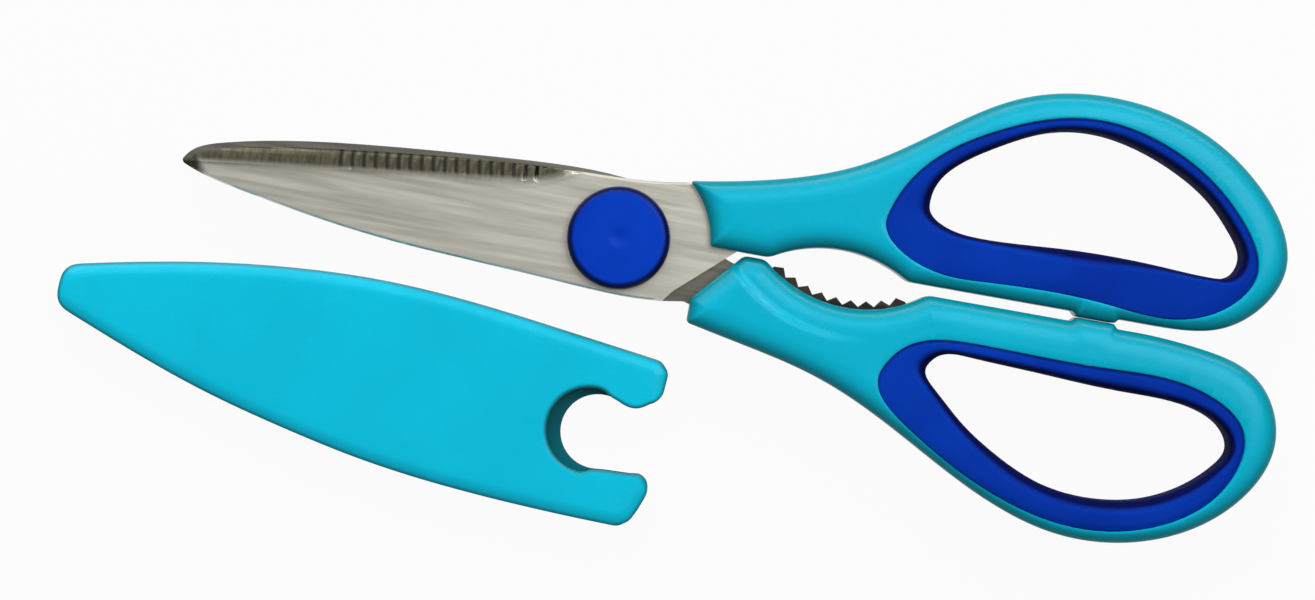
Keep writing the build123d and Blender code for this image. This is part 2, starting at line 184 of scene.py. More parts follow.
# %% [markdown]
# Moulded plastic
#
# The handles, the sheath and the cap are glossy moulded plastic, and the rings are a soft dull one. All
# have a slow drift of colour, patches of gloss and the fine grain of the mould, so one function makes
# them, with other colours, roughness and grain for each.

# %% Moulded plastic
DRIFT, GLOSS_PATCHES, MOULD_GRAIN = 45.0, 300.0, 2600.0     # patches to a metre
GLOSS_SPREAD = 0.05
GRAIN_DETAIL, GRAIN_STRENGTH = 3.0, 0.3
TEAL = linear(1, 177, 206), linear(2, 183, 212)
GLOSSY = {"roughness": 0.26, "grain": 0.01 * MM}


def moulded_plastic(name, deep, light, roughness, grain, gloss):
    """Moulded plastic: a slow drift of colour, uneven gloss and a fine moulded grain."""
    material, tree, shader = new_material(name)
    colour = colour_range(tree, object_noise(tree, DRIFT), deep, light)
    join(tree, colour, "Color", shader, "Base Color")
    patches = object_noise(tree, GLOSS_PATCHES)
    uneven = value_range(tree, patches, roughness - GLOSS_SPREAD, roughness + GLOSS_SPREAD)
    join(tree, uneven, "Result", shader, "Roughness")
    relief(tree, shader, object_noise(tree, MOULD_GRAIN, GRAIN_DETAIL), grain, GRAIN_STRENGTH)
    shader.inputs["Specular IOR Level"].default_value = gloss
    print(name, "roughness", roughness, "grain", grain / MM, "mm")
    return material, tree, shader, colour


teal = moulded_plastic("teal_plastic", *TEAL, **GLOSSY, gloss=0.22)[0]

# %% [markdown]
# Painted shade at the edges
#
# Where a moulding turns down at its edge, and where a ring rolls into the opening, colour is painted deeper
# as painted shade. A node could look for edges, but it would find them all alike. Here the pieces below
# keep a number on each of their points, such as how far in from the outline it lies, and the shade follows
# it.

# %% Plastic with painted edge shade
MIX_COLOUR, MIX_FIRST, MIX_SECOND = 2, 6, 7     # sockets of a Mix node, whose names aren't unique
HANDLE_TEAL = linear(1, 163, 190), linear(2, 168, 196)
# painted shade: these deeper colours stand for the shade where a moulding turns down and a ring rolls in
HANDLE_EDGE_SHADE, SHEATH_EDGE_SHADE = linear(1, 116, 126), linear(1, 92, 101)
SOFT_BLUE, ROLL_SHADE_BLUE = (linear(1, 42, 144), linear(2, 52, 162)), linear(1, 8, 66)
SOFT = {"roughness": 0.80, "grain": 0.04 * MM}
HANDLE_SHADE_FADE = (3.2 * MM, -0.6 * MM)     # how far in from the outline, from no edge colour to all of it
SHEATH_SHADE_FADE = (0.9 * MM, -0.2 * MM)
ROLL_SHADE_FADE = (0.0, 0.24)                 # how far down the roll, as a share of its depth


def blend(tree, share, first, second):
    """Colour that goes from one node's to another's as a value goes from 0 to 1."""
    mixed = add(tree, "ShaderNodeMix", data_type="RGBA")
    join(tree, share, 0, mixed, 0)
    for entry, node in ((MIX_FIRST, first), (MIX_SECOND, second)):
        join(tree, node, MIX_COLOUR if node.bl_idname == mixed.bl_idname else 0, mixed, entry)
    return mixed


def paint(tree, colour):
    """A node that gives one plain colour, for blend to mix in."""
    node = add(tree, "ShaderNodeRGB")
    node.outputs[0].default_value = colour
    return node


def painted_edge_shade(finish, attribute, edge, fade):
    """Painted shade: a deeper colour where a number kept on the piece's points runs from one value to
    another.
    """
    material, tree, shader, colour = finish
    kept = add(tree, "ShaderNodeAttribute", attribute_name=attribute)
    share = value_range(tree, kept, 0.0, 1.0, *fade, "Fac")
    join(tree, blend(tree, share, colour, paint(tree, edge)), MIX_COLOUR, shader, "Base Color")
    print(material.name, "takes its edge colour from", attribute)
    return material


handle_teal = painted_edge_shade(moulded_plastic("handle_teal", *HANDLE_TEAL, **GLOSSY, gloss=0.13),
                          "inset", HANDLE_EDGE_SHADE, HANDLE_SHADE_FADE)
sheath_teal = painted_edge_shade(moulded_plastic("sheath_teal", *TEAL, **GLOSSY, gloss=0.16),
                          "inset", SHEATH_EDGE_SHADE, SHEATH_SHADE_FADE)
soft_blue = painted_edge_shade(moulded_plastic("blue_soft", *SOFT_BLUE, **SOFT, gloss=0.05),
                        "roll", ROLL_SHADE_BLUE, ROLL_SHADE_FADE)

# %% [markdown]
# Cap plastic
#
# The cap over the pivot is glossy blue, with painted shade on the rim where its shoulder turns down. It is
# round about the pivot's axis, so no number on the mesh is needed: a Mapping node flattens the coordinates
# to X and Y, and the length of that vector is the distance from the axis.

# %% Cap plastic
# the rim's dark blue is painted shade where the shoulder turns down
CAP_BLUE, CAP_RIM_SHADE_BLUE = (linear(1, 50, 168), linear(2, 60, 182)), linear(1, 14, 62)
CAP_GLOSS = {"roughness": 0.30, "grain": 0.02 * MM, "gloss": 0.07}
CAP_SHADE_FADE = (8.2 * MM, 9.3 * MM)


def cap_plastic():
    """Blue plastic with painted shade over the cap's shoulder, by the distance from the pivot's axis."""
    material, tree, shader, colour = moulded_plastic("blue_plastic", *CAP_BLUE, **CAP_GLOSS)
    coordinates = add(tree, "ShaderNodeTexCoord")
    mapping = add(tree, "ShaderNodeMapping", Scale=(1, 1, 0))
    away = add(tree, "ShaderNodeVectorMath", operation="LENGTH")
    join(tree, coordinates, "Object", mapping, "Vector")
    join(tree, mapping, "Vector", away, 0)
    share = value_range(tree, away, 0.0, 1.0, *CAP_SHADE_FADE, "Value")
    join(tree, blend(tree, share, colour, paint(tree, CAP_RIM_SHADE_BLUE)), MIX_COLOUR, shader, "Base Color")
    return material


cap_blue = cap_plastic()

# %% [markdown]
# Ground steel
#
# The blades, the gripper and the pivot are stainless steel, ground along their length. A clean metal
# mirrors the white room evenly and looks like grey plastic, so the grinding has to show. Noise that is
# drawn out along the blade makes fine lines, which change the colour, the roughness and the relief alike.

# %% Ground steel
GRINDING = {"scale": 900.0, "detail": 3.0, "stretch": (0.05, 1, 1)}
GRINDING_DEPTH, GRINDING_STRENGTH = 0.01 * MM, 0.4
SMOOTHER, ROUGHER = 0.05, 0.06      # how far the lines go below and above a steel's roughness
FLAT_GREY, FLAT_ROUGHNESS = (linear(222, 219, 204), linear(236, 233, 220)), 0.32
# the gripper's near-black grey is painted shade, for its teeth that lie in shadow between the arms
GRIPPER_SHADE_GREY, GRIPPER_ROUGHNESS = (linear(44, 42, 40), linear(66, 62, 58)), 0.42


def ground_steel(name, deep, light, roughness):
    """Stainless steel with fine grinding lines along the blade."""
    material, tree, shader = new_material(name)
    shader.inputs["Metallic"].default_value = 1.0
    lines = object_noise(tree, **GRINDING)
    colour = colour_range(tree, lines, deep, light)
    join(tree, colour, "Color", shader, "Base Color")
    uneven = value_range(tree, lines, roughness - SMOOTHER, roughness + ROUGHER)
    join(tree, uneven, "Result", shader, "Roughness")
    relief(tree, shader, lines, GRINDING_DEPTH, GRINDING_STRENGTH)
    print(name, "roughness", roughness)
    return material, tree, shader, colour


pivot_steel = ground_steel("steel", *FLAT_GREY, FLAT_ROUGHNESS)[0]
gripper_steel = ground_steel("dark_steel", *GRIPPER_SHADE_GREY, GRIPPER_ROUGHNESS)[0]

# %% [markdown]
# The bevel's painted shade
#
# The front blade's round bevel is ground more coarsely than its flat, and its much darker colour is painted
# shade: it stands for the dark that the tilted face reflects. It leaves the flat along one straight line
# and
# runs out to the edge in front of the pivot. The dark part could be painted on an image, but this is
# sharper:
# a Mapping node lays that line along X, and the bevel is where Y is above nothing. Past the line's end, a
# circle's rise is taken off Y, which makes the run-out.

# %% Places along the bevel
BEVEL_START = (-71.2 * MM, 0.1 * MM)
BEVEL_SLOPE = radians(6.6)
BEVEL_LENGTH = 50.0 * MM
RUNOUT_RADIUS = 26.0 * MM


def calculate(tree, operation, first, second=0.0):
    """A calculation with two values, each a number or the first output of a node."""
    node = add(tree, "ShaderNodeMath", operation=operation)
    for entry, value in enumerate((first, second)):
        if isinstance(value, bpy.types.Node):
            join(tree, value, 0, node, entry)
        else:
            node.inputs[entry].default_value = value
    return node


def bevel_places(tree):
    """Place along the bevel line, and height above it. The line ends in a circle: y - x * x / (2 r)."""
    coordinates = add(tree, "ShaderNodeTexCoord")
    mapping = add(tree, "ShaderNodeMapping", vector_type="TEXTURE",
                  Location=(*BEVEL_START, 0), Rotation=(0, 0, BEVEL_SLOPE))
    along = add(tree, "ShaderNodeSeparateXYZ")
    join(tree, coordinates, "Object", mapping, "Vector")
    join(tree, mapping, "Vector", along, "Vector")
    past = calculate(tree, "MAXIMUM", calculate(tree, "SUBTRACT", along, BEVEL_LENGTH))
    rise = calculate(tree, "DIVIDE", calculate(tree, "MULTIPLY", past, past), 2 * RUNOUT_RADIUS)
    height = add(tree, "ShaderNodeMath", operation="SUBTRACT")
    join(tree, along, "Y", height, 0)
    join(tree, rise, 0, height, 1)
    return along, height


print("the bevel's line is straight for", BEVEL_LENGTH / MM, "mm")

# %% [markdown]
# Cross grooves and the dark tip
#
# The bevel has a row of fine cross grooves, which keep what is cut from slipping. They are cut in the CAD
# blade, but so shallow that light alone hardly shows them from above. So a wave along the bevel's line
# paints shade into each of them, from the first groove to the last. The dark tip takes the bevel's colour,
# by one more range along the same line.

# %% Front blade steel
GROOVE_FIRST, GROOVE_PITCH, GROOVE_COUNT = 17.0 * MM, 2.2 * MM, 18
GROOVE_FADE = (-0.1, 0.9)               # the wave's values from no groove to the groove's full dark
BEVEL_FADE = (-0.5 * MM, 2.6 * MM)      # heights above the bevel line
TIP_FADE = (-10.6 * MM, -7.5 * MM)      # places along the bevel line
COARSE_GRINDING = {"scale": 1500.0, "detail": 3.0, "stretch": (1, 0.1, 1)}       # across the blade
# painted shade: the bevel's grey stands for the dark it reflects, and the groove grey for shade in the
# grooves
BEVEL_SHADE_GREY, GROOVE_SHADE_GREY = (linear(54, 53, 43), linear(74, 71, 59)), linear(38, 37, 31)


def in_grooves(tree, along):
    """How far a place lies in a cross groove: cos(2 pi (x - first) / pitch), from the first to the last."""
    past = calculate(tree, "SUBTRACT", along, GROOVE_FIRST)
    wave = calculate(tree, "COSINE", calculate(tree, "MULTIPLY", past, 2 * np.pi / GROOVE_PITCH))
    half = (GROOVE_COUNT - 1) * GROOVE_PITCH / 2
    inside = calculate(tree, "COMPARE", along, GROOVE_FIRST + half)
    inside.inputs[2].default_value = half + GROOVE_PITCH / 2
    return calculate(tree, "MULTIPLY", value_range(tree, wave, 0.0, 1.0, *GROOVE_FADE), inside)


def bevelled_steel():
    """Ground steel whose colour changes to the bevel's painted shade, deepest in the grooves, over the
    bevel and over the tip.
    """
    material, tree, shader, colour = ground_steel("blade_steel", *FLAT_GREY, FLAT_ROUGHNESS)
    coarse = colour_range(tree, object_noise(tree, **COARSE_GRINDING), *BEVEL_SHADE_GREY)
    along, height = bevel_places(tree)
    grooved = blend(tree, in_grooves(tree, along), coarse, paint(tree, GROOVE_SHADE_GREY))
    bevel = value_range(tree, height, 0.0, 1.0, *BEVEL_FADE)
    tip = value_range(tree, along, 1.0, 0.0, *TIP_FADE)
    dark = calculate(tree, "MAXIMUM", bevel, tip)
    join(tree, blend(tree, dark, colour, grooved), MIX_COLOUR, shader, "Base Color")
    print("grooves from", GROOVE_FIRST / MM, "mm along the bevel, every", GROOVE_PITCH / MM, "mm")
    return material


front_steel = bevelled_steel()

# %% [markdown]
# The rear blade's heel
#
# From above, little more than the rear blade's heel shows, between the arms of the handles. It lies in the
# front blade's shadow, so its inner face is painted a darker grey than the front blade's flat, as painted
# shadow. A material slot of its own would need a changed mesh. But it is the highest face of that blade, so
# the painted shadow goes wherever Z is above a height.

# %% Rear blade steel
INNER_FACE = 5.4 * MM
# the heel's darker grey is painted shadow from the front blade
HEEL_SHADOW_GREY = linear(132, 128, 118), linear(146, 142, 132)


def shadowed_heel_steel():
    """Ground steel with painted shadow: a darker grey above the height where the inner face starts."""
    material, tree, shader, colour = ground_steel("rear_steel", *FLAT_GREY, FLAT_ROUGHNESS)
    shade = colour_range(tree, object_noise(tree, **GRINDING), *HEEL_SHADOW_GREY)
    coordinates = add(tree, "ShaderNodeTexCoord")
    parts = add(tree, "ShaderNodeSeparateXYZ")
    join(tree, coordinates, "Object", parts, "Vector")
    inner = calculate(tree, "GREATER_THAN", 0.0, INNER_FACE)
    join(tree, parts, "Z", inner, 0)
    join(tree, blend(tree, inner, colour, shade), MIX_COLOUR, shader, "Base Color")
    return material


rear_steel = shadowed_heel_steel()

# %% [markdown]
# Finishes on the CAD pieces
#
# Every CAD piece gets its finish in its material slot. The gripper, the bolt, the washer and the nut are
# shown as they are, because their flat faces and crisp edges are right. The other pieces are hidden below
# by finer surfaces, and the blades' finer copies take their finish along from here.

# %% Finishes on the CAD pieces
FINISHES = {
    "front_blade": front_steel, "rear_blade": rear_steel, "gripper_plate": gripper_steel,
    "pivot_bolt": pivot_steel, "pivot_washer": pivot_steel, "pivot_nut": pivot_steel,
    "upper_handle_shell": teal, "lower_handle_shell": teal, "sheath": teal,
    "upper_handle_grip": soft_blue, "lower_handle_grip": soft_blue, "pivot_cap": cap_blue,
}
for name, finish in FINISHES.items():
    nodes[name].data.materials.clear()
    nodes[name].data.materials.append(finish)
    print(name, "has", finish.name)

# %% [markdown]
# Blades
#
# The blades are flat blanks with a ground bevel, and their CAD shape is right. But a CAD piece comes as
# loose flat triangles, so its rounded bevel shows facets. They could be hidden by a finer piece, but a
# merged copy is enough: its flat faces are joined again, it shades smoothly, and its sharp edges stay.

# %% Blades
MERGE = 1e-6
FLAT_ANGLE = radians(0.3)
SHARP_ANGLE = radians(28)


def shade_smooth(mesh, sharp):
    """Smooth shading on every face, broken only at edges sharper than an angle."""
    mesh.polygons.foreach_set("use_smooth", np.ones(len(mesh.polygons), bool))
    if sharp:
        mesh.set_sharp_from_angle(angle=sharp)


def blade_skin(node, body):
    """A merged copy of a blade that shades smoothly, and stands for it on its body."""
    mesh = nodes[node].data.copy()
    shape = bmesh.new()
    shape.from_mesh(mesh)
    bmesh.ops.remove_doubles(shape, verts=shape.verts, dist=MERGE)
    bmesh.ops.dissolve_limit(shape, angle_limit=FLAT_ANGLE, verts=shape.verts, edges=shape.edges)
    shape.to_mesh(mesh)
    shape.free()
    shade_smooth(mesh, SHARP_ANGLE)
    piece = new_object(node + "_skin", mesh)
    weighted = piece.modifiers.new("flat faces stay flat", "WEIGHTED_NORMAL")
    weighted.keep_sharp = True
    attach(piece, body)
    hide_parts(node)
    print(piece.name, len(mesh.polygons), "faces")


blade_skin("front_blade", "front_half")
blade_skin("rear_blade", "rear_half")

# %% [markdown]
# Outlines
#
# The handles, the sheath and the rings are drawn again as fine surfaces. Their outlines could be traced a
# second time, but the CAD pieces already hold them. So each piece is cut level at a chosen height, and
# the cut's loops are the outlines: the new surfaces then keep the CAD shape seen from above.

# %% Outlines of a CAD piece
def outlines(node, height):
    """The closed outlines of a CAD piece cut level at a height, longest first, as arrays of X and Y."""
    shape = bmesh.new()
    shape.from_mesh(nodes[node].data)
    bmesh.ops.remove_doubles(shape, verts=shape.verts, dist=MERGE)
    bmesh.ops.bisect_plane(shape, geom=shape.verts[:] + shape.edges[:] + shape.faces[:],
                           plane_co=(0, 0, height), plane_no=(0, 0, 1), clear_inner=True, clear_outer=True)
    mesh = bpy.data.meshes.new("section")
    shape.to_mesh(mesh)
    shape.free()
    section = new_object("section", mesh)
    bpy.ops.object.select_all(action="DESELECT")
    bpy.context.view_layer.objects.active = section
    section.select_set(True)
    bpy.ops.object.convert(target="CURVE")
    section = bpy.context.view_layer.objects.active
    loops = [np.array([point.co[:2] for point in spline.points]) for spline in section.data.splines]
    bpy.data.objects.remove(section)
    print(node, "cut at", round(height / MM, 2), "mm, outlines:", len(loops))
    return sorted(loops, key=lambda loop: -np.ptp(loop[:, 0]))


# %% [markdown]
# Even and softened outlines
#
# A cut has points only where the CAD model's facets meet, so a straight side has two and a curve many.
# Evenly spaced points are needed for rows of faces beside them. They also make it easy to soften a
# corner, by averaging neighbours, and to find the way into the outline at every point.

# %% Even and softened outlines
def evenly(loop, count):
    """The same closed outline, anticlockwise, through evenly spaced points: X and Y by its length."""
    onward = np.roll(loop, -1, 0)
    if (loop[:, 0] * onward[:, 1] - onward[:, 0] * loop[:, 1]).sum() < 0:
        loop = loop[::-1]
    closed = np.vstack([loop, loop[:1]])
    run = np.concatenate([[0], np.cumsum(np.hypot(*np.diff(closed, axis=0).T))])
    at = np.linspace(0, run[-1], count, endpoint=False)
    return np.column_stack([np.interp(at, run, closed[:, axis]) for axis in (0, 1)])


def soften(loop, span):
    """Rounds corners: every point becomes the mean of the outline within a span to each side."""
    count = int(span / np.hypot(*(loop[1] - loop[0])))
    return np.mean([np.roll(loop, shift, 0) for shift in range(-count, count + 1)], axis=0)


def inward(loop):
    """Unit vectors square to an anticlockwise outline, which point into it: its direction turned left."""
    step = np.roll(loop, -1, 0) - np.roll(loop, 1, 0)
    return np.column_stack([-step[:, 1], step[:, 0]]) / np.hypot(*step.T)[:, None]


# %% [markdown]
# Distance from an outline
#
# Everything that rounds an edge here needs to know how far in from the outline a point lies. A Proximity
# node could tell, but only once the mesh is there. An outline is a ring of short straight pieces, so the
# nearest place on every piece is worked out for all points at once, and the nearest of those counts.

# %% Distance from an outline
DISTANCE_PARTS = 16     # so that no array grows too large


def distance(points, loop):
    """Least distance from each point to the straight pieces of a closed outline, worked out in parts.

    The nearest place on a piece is a share along it: the point's way from its start, times the piece,
    over the piece's length squared, and no less than nothing or more than one.
    """
    start = loop.astype(np.float32)
    side = np.roll(start, -1, 0) - start
    least = []
    for part in np.array_split(points.astype(np.float32), DISTANCE_PARTS):
        away = part[:, None] - start
        share = np.clip((away * side).sum(-1) / (side ** 2).sum(-1), 0, 1)[..., None]
        least.append(np.sqrt(((away - share * side) ** 2).sum(-1).min(1)))
    return np.concatenate(least).astype(float)


unit_square = np.array([(0, 0), (1, 0), (1, 1), (0, 1)])
middle_distance = distance(np.array([(0.5, 0.5)]), unit_square)[0]
print("the middle of a unit square is", middle_distance, "from its outline")

# %% [markdown]
# Meshes from arrays
#
# Points and faces could be added to a mesh one by one, but that is slow for a smooth moulding. The new
# surfaces are worked out as whole arrays instead and go into a mesh at once. Points that fall together,
# as at a pole, are merged, the faces are turned outwards, and one number can be kept on every point for
# the finish to read.

# %% A mesh from arrays
def mesh_piece(name, points, faces, finish, kept=None, sharp=None):
    """A closed piece from arrays of points and faces, with one named number kept on each point."""
    mesh = bpy.data.meshes.new(name)
    mesh.from_pydata(points.reshape(-1, 3), [], faces if isinstance(faces, list) else faces.tolist())
    if kept:
        layer = mesh.attributes.new(kept[0], "FLOAT", "POINT")
        layer.data.foreach_set("value", np.broadcast_to(kept[1], points.shape[:-1]).ravel())
    shape = bmesh.new()
    shape.from_mesh(mesh)
    bmesh.ops.remove_doubles(shape, verts=shape.verts, dist=MERGE)
    bmesh.ops.recalc_face_normals(shape, faces=shape.faces)
    shape.to_mesh(mesh)
    shape.free()
    shade_smooth(mesh, sharp)
    mesh.materials.append(finish)
    print(name, len(mesh.polygons), "faces")
    return new_object(name, mesh)


# %% [markdown]
# Plates with rounded edges
#
# The handles and the sheath's walls are plates whose edges are rounded. A Bevel modifier breaks down
# where a wide edge meets a tight corner. But seen from above, such a plate's height depends only on how
# far in from the edge a point lies. So a point of the plate's top is lowered by its distance from the
# outline, and a corner of any shape comes out smooth.

# %% How far an edge drops
def drop(inset, width, height):
    """How far a rounded edge has dropped, a quarter of an ellipse: height * (1 - sqrt(1 - left ** 2)).

    Left goes from one at the outline to nothing at the rounding's width.
    """
    left = 1 - np.clip(inset / width, 0, 1)
    return height * (1 - np.sqrt(1 - left ** 2))


print("halfway in, a rounded edge is down by", round(float(drop(0.5, 1, 1)), 3), "of its height")

# %% [markdown]
# Points over a plate
#
# A plate's top needs points close together where it curves, and few where it is flat. A square grid that
# is cut to the outline would leave ragged cells along it. So rows of points follow the outline, a coarse
# grid fills the middle, and a Delaunay triangulation joins them all, with the outline as its border.

# %% Points and triangles inside an outline
EDGE_ROWS = 12
FLAT_PITCH = 1.5 * MM
SEAT_EDGE = 0.35 * MM                   # the small rounding round a ring's seat
SEAT_ROWS = (-0.3 * SEAT_EDGE, -SEAT_EDGE)      # insets of the rows round a seat, which lie outside it
SEAT_MARGIN = 1.5 * SEAT_EDGE           # other points keep this far from a seat
OWN_ROW_SHARE = 0.98                    # a row's point lies at least this share of its inset away
GRID_SHARE = 1.1                        # the grid starts at this share of the rows' width
TRIANGLES_INSIDE, LEAST_LENGTH = 1, 1e-9
NOWHERE = np.zeros((0, 2))


def rows_beside(loop, insets):
    """Points in rows square to a closed outline, one row for each inset."""
    return (loop + inward(loop) * np.reshape(insets, (-1, 1, 1))).reshape(-1, 2)


def triangles_inside(outer, width, hole=NOWHERE, extra=NOWHERE):
    """Triangles over rows of points within a width of the outline, a square grid and any extra points.

    The rows lie at width * (1 - cos(turn)), as the turn goes evenly to a quarter, so they are closest
    together at the outline. A point of a row is left out where another part of an outline is nearer
    than its own, so the rows don't cross in corners. The triangulation says which triangles lie in the
    outline and in the hole.
    """
    insets = width * (1 - np.cos(np.linspace(0, np.pi / 2, EDGE_ROWS)[1:]))
    lines = [np.arange(low, high, FLAT_PITCH) for low, high in zip(outer.min(0), outer.max(0))]
    grid = np.stack(np.meshgrid(*lines), -1).reshape(-1, 2)
    seat_rows = rows_beside(hole, SEAT_ROWS) if len(hole) else NOWHERE
    free = np.vstack([rows_beside(outer, insets), grid, extra, seat_rows])
    least = np.concatenate([np.repeat(OWN_ROW_SHARE * insets, len(outer)),
                            np.full(len(grid), GRID_SHARE * width),
                            np.full(len(extra) + len(seat_rows), SEAT_EDGE)])
    good = distance(free, outer) >= least
    if len(hole):
        clear = np.full(len(free), SEAT_MARGIN)
        clear[len(free) - len(seat_rows):] = 0
        good &= distance(free, hole) >= clear
    flat = np.vstack([outer, hole, free[good]])
    rings = [list(range(len(outer)))]
    if len(hole):
        rings.append(list(range(len(outer), len(outer) + len(hole))))
    places, _, triangles, _, _, owners = delaunay_2d_cdt([Vector(p) for p in flat], [], rings,
                                                         TRIANGLES_INSIDE, LEAST_LENGTH)
    triangles = np.array(triangles)[[owner == [0] for owner in owners]]
    print(len(free), "points offered,", good.sum(), "kept,", len(triangles), "triangles")
    used, triangles = np.unique(triangles, return_inverse=True)
    return np.array(places)[used], triangles.reshape(-1, 3)


# %% [markdown]
# A closed plate
#
# A plate needs an underside and a wall as well. A Solidify modifier would add both, but with the same
# thickness everywhere. Here the triangles are used twice, once at the heights of the top and once turned
# over at those of the underside, and a wall joins them along every edge of the outline.

# %% A closed plate
def raised(places, triangles, top, below):
    """A closed plate: triangles at the top heights, the same ones turned over below, and side walls.

    A side wall stands on each edge that only one triangle has.
    """
    count = len(places)
    start, end = triangles, np.roll(triangles, -1, 1)
    lone = ~np.isin(start * count + end, end * count + start)
    a, b = start[lone], end[lone]
    walls = np.column_stack([a, a + count, b + count, b])
    points = np.vstack([np.column_stack([places, top]), np.column_stack([places, below])])
    return points, triangles.tolist() + (triangles[:, ::-1] + count).tolist() + walls.tolist()


# %% [markdown]
# Handle shells
#
# Each handle is moulded round its blade's tang, a good centimetre thick and rounded over widely on both
# sides, with a seat that the soft ring lies in. Top and underside are mirror images here. The lower
# handle has a land sunk into it beside the gripper's teeth, which deepens towards the pivot. It could be
# cut out with a Boolean modifier, but lowering the plate's points is enough. Extra points lie along the
# land's round step to keep it crisp.

# %% The sunk land by the teeth
LAND_CENTRE = np.array([44.7, 19.35]) * MM
LAND_RADIUS = 30.5 * MM
LAND_STEP = 2.0 * MM
LAND_END = 50.7 * MM
LAND_SLOPE = 0.9 / 21.25                # 0.9 mm deep at 21.25 mm from its end
STEP_ROWS, STEP_BEARINGS = 7, 320


def land(points):
    """The sunk land by the teeth: inside a circle, sloping away from nothing at its end, with a soft step.

    The step's share s goes from nothing to one over its width, and is eased as s * s * (3 - 2 * s).
    """
    away = np.hypot(*(points - LAND_CENTRE).T)
    share = np.clip((LAND_RADIUS + LAND_STEP / 2 - away) / LAND_STEP, 0, 1)
    return share ** 2 * (3 - 2 * share) * LAND_SLOPE * np.clip(LAND_END - points[:, 0], 0, None)


bearing = np.linspace(np.pi, 2 * np.pi, STEP_BEARINGS)
row = (LAND_RADIUS + np.linspace(-0.5, 0.5, STEP_ROWS) * LAND_STEP)[:, None]
step_points = LAND_CENTRE + np.stack([row * np.cos(bearing), row * np.sin(bearing)], -1).reshape(-1, 2)
print("the land's step has", len(step_points), "points")

# %% [markdown]
# Two mouldings
#
# The two mouldings differ only in their outlines and in the sunk land, so one function makes both. Each
# outline is the CAD handle's, with its corners a little softer, as a mould's are. A small rounding goes
# round the ring's seat, which leaves the fine joint line that shows between the two plastics.

# %% Shells
OUTLINE_STEPS, SEAT_STEPS = 1100, 560
WALL_LEVEL = 2.6 * MM                   # a height at which the CAD handle's walls are upright
HANDLE_SOFTNESS = 0.8 * MM
HANDLE_EDGE_WIDTH, HANDLE_EDGE_HEIGHT = 5.0 * MM, 2.6 * MM
WALL_CORNER = radians(40)


def handle_shell(node, body, extra=NOWHERE, sunk=None):
    """Triangles over the points, lifted to the top, mirrored below, and joined by the side walls."""
    low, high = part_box(node)
    outer, seat = outlines(node, WALL_LEVEL)[:2]
    outer, seat = soften(evenly(outer, OUTLINE_STEPS), HANDLE_SOFTNESS), evenly(seat, SEAT_STEPS)
    places, triangles = triangles_inside(outer, HANDLE_EDGE_WIDTH, seat, extra)
    inset = distance(places, outer)
    fall = drop(inset, HANDLE_EDGE_WIDTH, HANDLE_EDGE_HEIGHT)
    fall = fall + drop(distance(places, seat), SEAT_EDGE, SEAT_EDGE)
    if sunk:
        fall = fall + sunk(places)
    points, faces = raised(places, triangles, high.z - fall, low.z + fall)
    kept = ("inset", np.tile(inset, 2))
    piece = mesh_piece(node + "_moulding", points, faces, handle_teal, kept, WALL_CORNER)
    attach(piece, body)
    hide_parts(node)


handle_shell("upper_handle_shell", "front_half")
handle_shell("lower_handle_shell", "rear_half", step_points, land)

# %% [markdown]
# Sheath
#
# The sheath is a flat moulded sleeve: a front and a rear wall with crowned edges, joined by a wall along
# both sides and round the closed end, and open between the prongs. One shell with a Solidify modifier
# would have the same wall everywhere, but here the front wall is cut back further at the notch, and a
# crescent of the rear wall shows there. So each wall is a plate over its own outline.

# %% Outlines of the sheath
SHEATH_STEPS = 900
CORNER_SPAN = 1.3 * MM
SIDE_GAP = 0.35 * MM
FILL_SPAN = 0.9 * MM


def wall_outline(height):
    """The sheath's longest outline at a height, with its corners rounded as the mould's are."""
    return soften(evenly(outlines("sheath", height)[0], SHEATH_STEPS), CORNER_SPAN)


def hull(loop):
    """The outline without its hollows, such as the notch."""
    return loop[convex_hull_2d([Vector(p) for p in loop])]


def fill_out(loop, side):
    """An outline pushed out to the sides of another, from wherever it lies close inside them.

    It moves by the whole gap where that is under SIDE_GAP, and by less and less up to twice that.
    """
    gap = distance(loop, side)
    return soften(loop - inward(loop) * (gap * np.clip(2 - gap / SIDE_GAP, 0, 1))[:, None], FILL_SPAN)


# %% [markdown]
# Crowned walls
#
# The sheath's faces are flat in the middle and fall away in a soft curve along the sides. At the mouth
# they end in a much smaller rounding. So a point's fall is the larger of two: one by its distance from
# the hull, which knows nothing of the notch, and one by its distance from the outline itself.

# %% Walls of the sheath
SHEATH_EDGE_WIDTH, SHEATH_EDGE_HEIGHT = 2.8 * MM, 0.85 * MM
MOUTH_EDGE_WIDTH, MOUTH_EDGE_HEIGHT = 0.9 * MM, 0.45 * MM
FACE_WALL = 0.95 * MM
OVERLAP = 0.05 * MM


def crowned_wall(loop, inner, outer):
    """A plate from a flat inner height to an outer one, whose edges drop away towards the inner one.

    The sides fall as height * left ** 2, where left goes from nothing to one at the edge. The inner face
    counts as edge, so it takes the painted edge shade as well.
    """
    places, triangles = triangles_inside(loop, SHEATH_EDGE_WIDTH)
    inset = distance(places, loop)
    left = 1 - np.clip(distance(places, hull(loop)) / SHEATH_EDGE_WIDTH, 0, 1)
    fall = np.maximum(SHEATH_EDGE_HEIGHT * left ** 2, drop(inset, MOUTH_EDGE_WIDTH, MOUTH_EDGE_HEIGHT))
    crowned, flat = outer - np.sign(outer - inner) * fall, np.full(len(places), inner)
    if outer > inner:
        return *raised(places, triangles, crowned, flat), np.concatenate([inset, 0 * inset])
    return *raised(places, triangles, flat, crowned), np.concatenate([0 * inset, inset])


